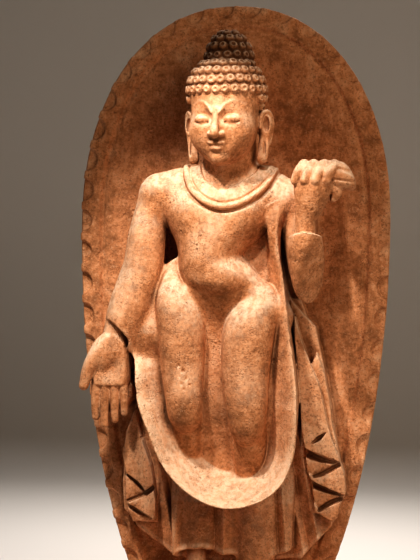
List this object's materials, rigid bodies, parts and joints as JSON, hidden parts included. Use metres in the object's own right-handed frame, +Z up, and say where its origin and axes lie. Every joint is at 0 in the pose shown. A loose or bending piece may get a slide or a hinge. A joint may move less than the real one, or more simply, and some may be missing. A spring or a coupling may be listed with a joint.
{
  "type": "stone relief stele of a standing buddha",
  "caption": "Upright almond-shaped stone slab with a scalloped border, a standing Buddha in high relief, one hand open and one raised holding the robe, on a low base.",
  "frame": {"origin": "middle of the bounding box, on the ground plane under the base", "axes": "+Z up, -Y the way the figure faces, +X to the viewer's right"},
  "size_m": [0.7498, 0.4, 1.5398],
  "materials": {
    "stone": "matt, pecked and pitted sandstone"
  },
  "bodies": {
    "root": {"buddha_stele": "stone"}
  },
  "joints": []
}
